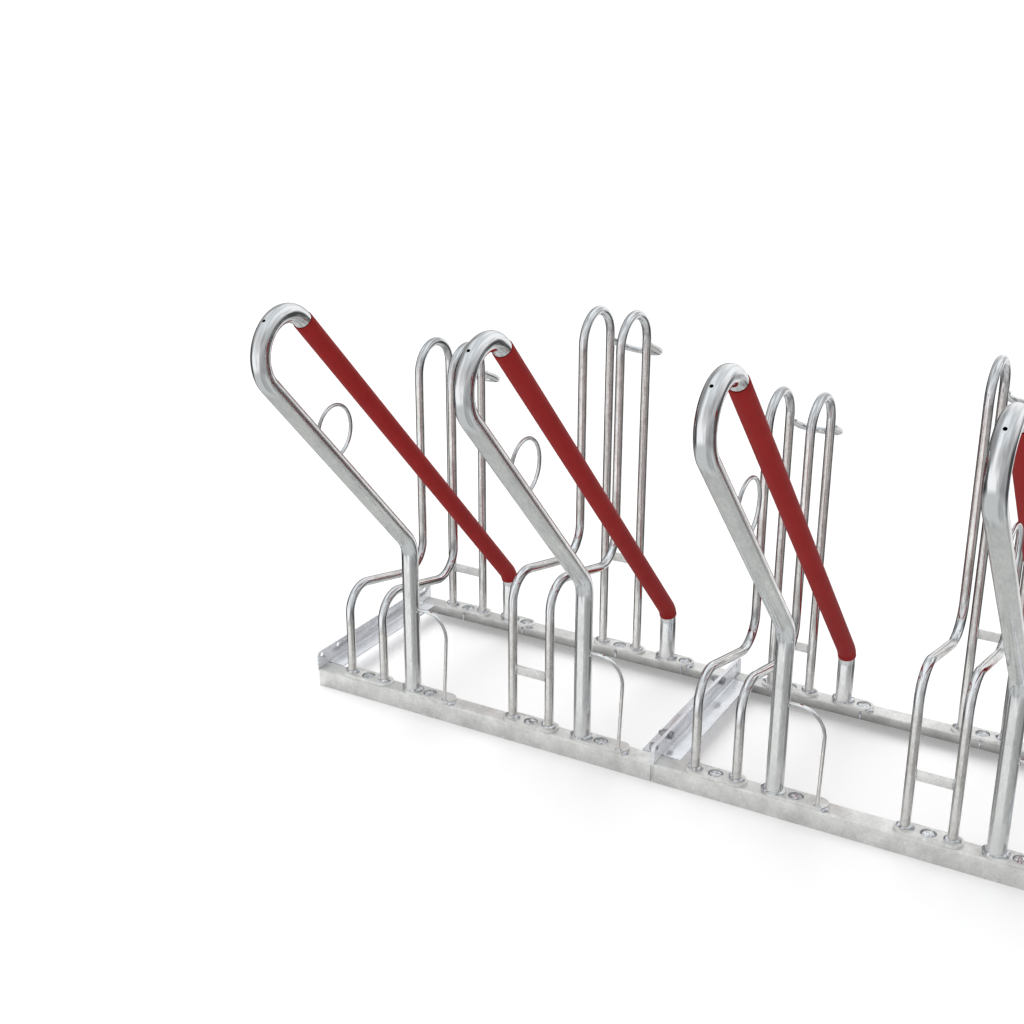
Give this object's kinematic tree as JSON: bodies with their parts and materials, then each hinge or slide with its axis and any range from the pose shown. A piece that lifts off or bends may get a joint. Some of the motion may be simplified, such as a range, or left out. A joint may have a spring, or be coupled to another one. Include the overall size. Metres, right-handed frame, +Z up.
{
  "type": "bike parking rack",
  "caption": "Galvanised high and low bicycle parking rack with wheel slots, red-sleeved leaning loops and lock rings on a bolted modular base.",
  "frame": {"origin": "on the floor, in the middle of the row and halfway between the outer faces of the two rails", "axes": "+X along the row to the right end, +Y from the approach side to the wheel side, +Z up"},
  "size_m": [1.4, 0.831, 0.8173],
  "materials": {
    "galvanised_sheet": "hot-dip galvanised, satin with a faint spangle",
    "galvanised_tube": "hot-dip galvanised, smooth, shinier on the bends",
    "galvanised_wire": "hot-dip galvanised round wire and rod",
    "zinc_fasteners": "zinc-plated, satin",
    "weld_metal": "galvanised weld metal, shiny and lumpy",
    "red_sleeve": "matte red plastic sleeve"
  },
  "bodies": {
    "root": {"front_rail_left": "galvanised_sheet", "front_rail_right": "galvanised_sheet", "rear_rail_left": "galvanised_sheet", "rear_rail_right": "galvanised_sheet", "cross_angle_left_end": "galvanised_sheet", "cross_angle_left_joint": "galvanised_sheet", "cross_angle_right_joint": "galvanised_sheet", "cross_angle_right_end": "galvanised_sheet", "joint_bolts": "zinc_fasteners", "joint_washers": "zinc_fasteners", "joint_nuts": "zinc_fasteners", "wheel_plates_1": "galvanised_sheet", "wheel_plates_2": "galvanised_sheet", "wheel_plates_3": "galvanised_sheet", "wheel_plates_4": "galvanised_sheet", "lean_plates_1": "galvanised_sheet", "lean_plates_2": "galvanised_sheet", "lean_plates_3": "galvanised_sheet", "lean_plates_4": "galvanised_sheet", "plug_welds": "weld_metal", "wheel_frame_left_1": "galvanised_tube", "wheel_frame_right_1": "galvanised_tube", "wheel_frame_left_2": "galvanised_tube", "wheel_frame_right_2": "galvanised_tube", "wheel_frame_left_3": "galvanised_tube", "wheel_frame_right_3": "galvanised_tube", "wheel_frame_left_4": "galvanised_tube", "wheel_frame_right_4": "galvanised_tube", "wheel_stop_1": "galvanised_wire", "wheel_stop_2": "galvanised_wire", "wheel_stop_3": "galvanised_wire", "wheel_stop_4": "galvanised_wire", "rear_strap_1": "galvanised_sheet", "rear_strap_2": "galvanised_sheet", "rear_strap_3": "galvanised_sheet", "rear_strap_4": "galvanised_sheet", "front_strap_2": "galvanised_sheet", "front_strap_4": "galvanised_sheet", "lean_loop_1": "galvanised_tube", "lean_loop_2": "galvanised_tube", "lean_loop_3": "galvanised_tube", "lean_loop_4": "galvanised_tube", "sleeve_1": "red_sleeve", "sleeve_2": "red_sleeve", "sleeve_3": "red_sleeve", "sleeve_4": "red_sleeve", "lock_ring_1": "galvanised_wire", "lock_ring_2": "galvanised_wire", "lock_ring_3": "galvanised_wire", "lock_ring_4": "galvanised_wire", "lock_bracket_1": "galvanised_wire", "lock_bracket_2": "galvanised_wire", "lock_bracket_3": "galvanised_wire", "lock_bracket_4": "galvanised_wire"}
  },
  "joints": []
}
